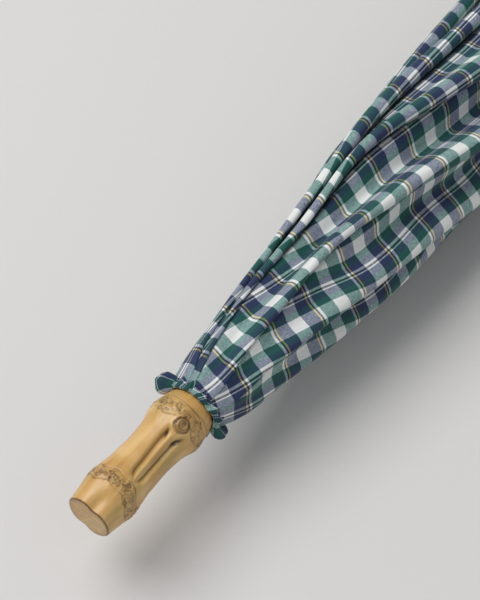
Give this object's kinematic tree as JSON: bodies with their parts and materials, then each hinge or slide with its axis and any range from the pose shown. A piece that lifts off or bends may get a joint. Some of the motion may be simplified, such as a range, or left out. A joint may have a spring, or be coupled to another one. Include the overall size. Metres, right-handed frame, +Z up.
{
  "type": "stick umbrella",
  "caption": "Folded stick umbrella with a bamboo root ferrule, a plaid cloth canopy on a folding rib frame, a sliding runner and a bamboo handle.",
  "frame": {"origin": "centre of the ferrule's cut end", "axes": "+X along the stick from the ferrule to the handle; +Z up, with the umbrella lying on its side on the folded canopy"},
  "size_m": [0.8, 0.088, 0.0847],
  "materials": {
    "ferrule_bamboo": "satin varnish over root nodes with brown scars",
    "handle_bamboo": "satin varnish",
    "stick_wood": "stained and varnished",
    "canopy_cloth": "fine cotton plaid in white, green and navy with thin yellow lines",
    "frame_steel": "black enamel",
    "plated_steel": "nickel plate",
    "moulding": "moulded",
    "collar_brass": "satin"
  },
  "bodies": {
    "stick": {"shaft": "stick_wood", "ferrule": "ferrule_bamboo", "crown_rosette": "canopy_cloth", "top_notch": "moulding", "notch_wire": "plated_steel", "runner_stop_pin": "plated_steel", "handle_collar": "collar_brass", "handle": "handle_bamboo", "canopy_gore_1": "canopy_cloth", "canopy_gore_2": "canopy_cloth", "canopy_gore_3": "canopy_cloth", "canopy_gore_4": "canopy_cloth", "canopy_gore_5": "canopy_cloth", "canopy_gore_6": "canopy_cloth", "canopy_gore_7": "canopy_cloth", "canopy_gore_8": "canopy_cloth"},
    "runner": {"runner": "moulding"},
    "upper_catch": {"upper_catch": "plated_steel"},
    "lower_catch": {"lower_catch": "plated_steel"},
    "rib_1": {"rib_1": "frame_steel", "rib_tip_1": "plated_steel"},
    "stretcher_1": {"stretcher_1": "frame_steel"},
    "gore_1": {"gore_edge_1": "canopy_cloth"},
    "rib_2": {"rib_2": "frame_steel", "rib_tip_2": "plated_steel", "tie_strap": "canopy_cloth", "strap_snap": "collar_brass"},
    "stretcher_2": {"stretcher_2": "frame_steel"},
    "gore_2": {"gore_edge_2": "canopy_cloth"},
    "rib_3": {"rib_3": "frame_steel", "rib_tip_3": "plated_steel"},
    "stretcher_3": {"stretcher_3": "frame_steel"},
    "gore_3": {"gore_edge_3": "canopy_cloth"},
    "rib_4": {"rib_4": "frame_steel", "rib_tip_4": "plated_steel"},
    "stretcher_4": {"stretcher_4": "frame_steel"},
    "gore_4": {"gore_edge_4": "canopy_cloth"},
    "rib_5": {"rib_5": "frame_steel", "rib_tip_5": "plated_steel"},
    "stretcher_5": {"stretcher_5": "frame_steel"},
    "gore_5": {"gore_edge_5": "canopy_cloth"},
    "rib_6": {"rib_6": "frame_steel", "rib_tip_6": "plated_steel"},
    "stretcher_6": {"stretcher_6": "frame_steel"},
    "gore_6": {"gore_edge_6": "canopy_cloth"},
    "rib_7": {"rib_7": "frame_steel", "rib_tip_7": "plated_steel"},
    "stretcher_7": {"stretcher_7": "frame_steel"},
    "gore_7": {"gore_edge_7": "canopy_cloth"},
    "rib_8": {"rib_8": "frame_steel", "rib_tip_8": "plated_steel"},
    "stretcher_8": {"stretcher_8": "frame_steel"},
    "gore_8": {"gore_edge_8": "canopy_cloth"}
  },
  "joints": [
    {"name": "runner_slide", "type": "slide", "parent": "stick", "child": "runner", "axis": [-1, 0, 0], "range_m": [0, 0.2516], "deforming": ["canopy_gore_1", "canopy_gore_2", "canopy_gore_3", "canopy_gore_4", "canopy_gore_5", "canopy_gore_6", "canopy_gore_7", "canopy_gore_8"]},
    {"name": "upper_catch_press", "type": "slide", "parent": "stick", "child": "upper_catch", "axis": [0, 0, -1], "range_m": [0, 0.0011], "stiffness_N_per_m": 400, "springref_m": -0.001},
    {"name": "lower_catch_press", "type": "slide", "parent": "stick", "child": "lower_catch", "axis": [0, 0, -1], "range_m": [0, 0.0011], "stiffness_N_per_m": 400, "springref_m": -0.001},
    {"name": "rib_1_hinge", "type": "hinge", "parent": "stick", "child": "rib_1", "pos_m": [0.078, 0.00831, 0.00344], "axis": [0, -0.3827, 0.9239], "range_deg": [0, 75]},
    {"name": "stretcher_1_hinge", "type": "hinge", "parent": "rib_1", "child": "stretcher_1", "pos_m": [0.24296, 0.01173, 0.00486], "axis": [0, -0.3827, 0.9239], "range_deg": [-150, 0]},
    {"name": "gore_1_spread", "type": "hinge", "parent": "rib_1", "child": "gore_1", "pos_m": [0.06868, 0.00831, 0.00344], "axis": [0, -0.8778, -0.479], "range_deg": [0, 43.39]},
    {"name": "rib_2_hinge", "type": "hinge", "parent": "stick", "child": "rib_2", "pos_m": [0.078, 0.00344, 0.00831], "axis": [0, -0.9239, 0.3827], "range_deg": [0, 75]},
    {"name": "stretcher_2_hinge", "type": "hinge", "parent": "rib_2", "child": "stretcher_2", "pos_m": [0.24296, 0.00486, 0.01173], "axis": [0, -0.9239, 0.3827], "range_deg": [-150, 0]},
    {"name": "gore_2_spread", "type": "hinge", "parent": "rib_2", "child": "gore_2", "pos_m": [0.06868, 0.00344, 0.00831], "axis": [0, -0.282, -0.9594], "range_deg": [0, 43.39]},
    {"name": "rib_3_hinge", "type": "hinge", "parent": "stick", "child": "rib_3", "pos_m": [0.078, -0.00344, 0.00831], "axis": [0, -0.9239, -0.3827], "range_deg": [0, 75]},
    {"name": "stretcher_3_hinge", "type": "hinge", "parent": "rib_3", "child": "stretcher_3", "pos_m": [0.24296, -0.00486, 0.01173], "axis": [0, -0.9239, -0.3827], "range_deg": [-150, 0]},
    {"name": "gore_3_spread", "type": "hinge", "parent": "rib_3", "child": "gore_3", "pos_m": [0.06868, -0.00344, 0.00831], "axis": [0, 0.479, -0.8778], "range_deg": [0, 43.39]},
    {"name": "rib_4_hinge", "type": "hinge", "parent": "stick", "child": "rib_4", "pos_m": [0.078, -0.00831, 0.00344], "axis": [0, -0.3827, -0.9239], "range_deg": [0, 75]},
    {"name": "stretcher_4_hinge", "type": "hinge", "parent": "rib_4", "child": "stretcher_4", "pos_m": [0.24296, -0.01173, 0.00486], "axis": [0, -0.3827, -0.9239], "range_deg": [-150, 0]},
    {"name": "gore_4_spread", "type": "hinge", "parent": "rib_4", "child": "gore_4", "pos_m": [0.06868, -0.00831, 0.00344], "axis": [0, 0.9594, -0.282], "range_deg": [0, 43.39]},
    {"name": "rib_5_hinge", "type": "hinge", "parent": "stick", "child": "rib_5", "pos_m": [0.078, -0.00831, -0.00344], "axis": [0, 0.3827, -0.9239], "range_deg": [0, 75]},
    {"name": "stretcher_5_hinge", "type": "hinge", "parent": "rib_5", "child": "stretcher_5", "pos_m": [0.24296, -0.01173, -0.00486], "axis": [0, 0.3827, -0.9239], "range_deg": [-150, 0]},
    {"name": "gore_5_spread", "type": "hinge", "parent": "rib_5", "child": "gore_5", "pos_m": [0.06868, -0.00831, -0.00344], "axis": [0, 0.8778, 0.479], "range_deg": [0, 43.39]},
    {"name": "rib_6_hinge", "type": "hinge", "parent": "stick", "child": "rib_6", "pos_m": [0.078, -0.00344, -0.00831], "axis": [0, 0.9239, -0.3827], "range_deg": [0, 75]},
    {"name": "stretcher_6_hinge", "type": "hinge", "parent": "rib_6", "child": "stretcher_6", "pos_m": [0.24296, -0.00486, -0.01173], "axis": [0, 0.9239, -0.3827], "range_deg": [-150, 0]},
    {"name": "gore_6_spread", "type": "hinge", "parent": "rib_6", "child": "gore_6", "pos_m": [0.06868, -0.00344, -0.00831], "axis": [0, 0.282, 0.9594], "range_deg": [0, 43.39]},
    {"name": "rib_7_hinge", "type": "hinge", "parent": "stick", "child": "rib_7", "pos_m": [0.078, 0.00344, -0.00831], "axis": [0, 0.9239, 0.3827], "range_deg": [0, 75]},
    {"name": "stretcher_7_hinge", "type": "hinge", "parent": "rib_7", "child": "stretcher_7", "pos_m": [0.24296, 0.00486, -0.01173], "axis": [0, 0.9239, 0.3827], "range_deg": [-150, 0]},
    {"name": "gore_7_spread", "type": "hinge", "parent": "rib_7", "child": "gore_7", "pos_m": [0.06868, 0.00344, -0.00831], "axis": [0, -0.479, 0.8778], "range_deg": [0, 43.39]},
    {"name": "rib_8_hinge", "type": "hinge", "parent": "stick", "child": "rib_8", "pos_m": [0.078, 0.00831, -0.00344], "axis": [0, 0.3827, 0.9239], "range_deg": [0, 75]},
    {"name": "stretcher_8_hinge", "type": "hinge", "parent": "rib_8", "child": "stretcher_8", "pos_m": [0.24296, 0.01173, -0.00486], "axis": [0, 0.3827, 0.9239], "range_deg": [-150, 0]},
    {"name": "gore_8_spread", "type": "hinge", "parent": "rib_8", "child": "gore_8", "pos_m": [0.06868, 0.00831, -0.00344], "axis": [0, -0.9594, 0.282], "range_deg": [0, 43.39]}
  ],
  "couplings": [
    {"joint": "rib_1_hinge", "follows": "runner_slide", "rad_per_m": 5.2027},
    {"joint": "stretcher_1_hinge", "follows": "runner_slide", "rad_per_m": -10.405},
    {"joint": "gore_1_spread", "follows": "runner_slide", "rad_per_m": 3.0097},
    {"joint": "rib_2_hinge", "follows": "runner_slide", "rad_per_m": 5.2027},
    {"joint": "stretcher_2_hinge", "follows": "runner_slide", "rad_per_m": -10.405},
    {"joint": "gore_2_spread", "follows": "runner_slide", "rad_per_m": 3.0097},
    {"joint": "rib_3_hinge", "follows": "runner_slide", "rad_per_m": 5.2027},
    {"joint": "stretcher_3_hinge", "follows": "runner_slide", "rad_per_m": -10.405},
    {"joint": "gore_3_spread", "follows": "runner_slide", "rad_per_m": 3.0097},
    {"joint": "rib_4_hinge", "follows": "runner_slide", "rad_per_m": 5.2027},
    {"joint": "stretcher_4_hinge", "follows": "runner_slide", "rad_per_m": -10.405},
    {"joint": "gore_4_spread", "follows": "runner_slide", "rad_per_m": 3.0097},
    {"joint": "rib_5_hinge", "follows": "runner_slide", "rad_per_m": 5.2027},
    {"joint": "stretcher_5_hinge", "follows": "runner_slide", "rad_per_m": -10.405},
    {"joint": "gore_5_spread", "follows": "runner_slide", "rad_per_m": 3.0097},
    {"joint": "rib_6_hinge", "follows": "runner_slide", "rad_per_m": 5.2027},
    {"joint": "stretcher_6_hinge", "follows": "runner_slide", "rad_per_m": -10.405},
    {"joint": "gore_6_spread", "follows": "runner_slide", "rad_per_m": 3.0097},
    {"joint": "rib_7_hinge", "follows": "runner_slide", "rad_per_m": 5.2027},
    {"joint": "stretcher_7_hinge", "follows": "runner_slide", "rad_per_m": -10.405},
    {"joint": "gore_7_spread", "follows": "runner_slide", "rad_per_m": 3.0097},
    {"joint": "rib_8_hinge", "follows": "runner_slide", "rad_per_m": 5.2027},
    {"joint": "stretcher_8_hinge", "follows": "runner_slide", "rad_per_m": -10.405},
    {"joint": "gore_8_spread", "follows": "runner_slide", "rad_per_m": 3.0097}
  ]
}
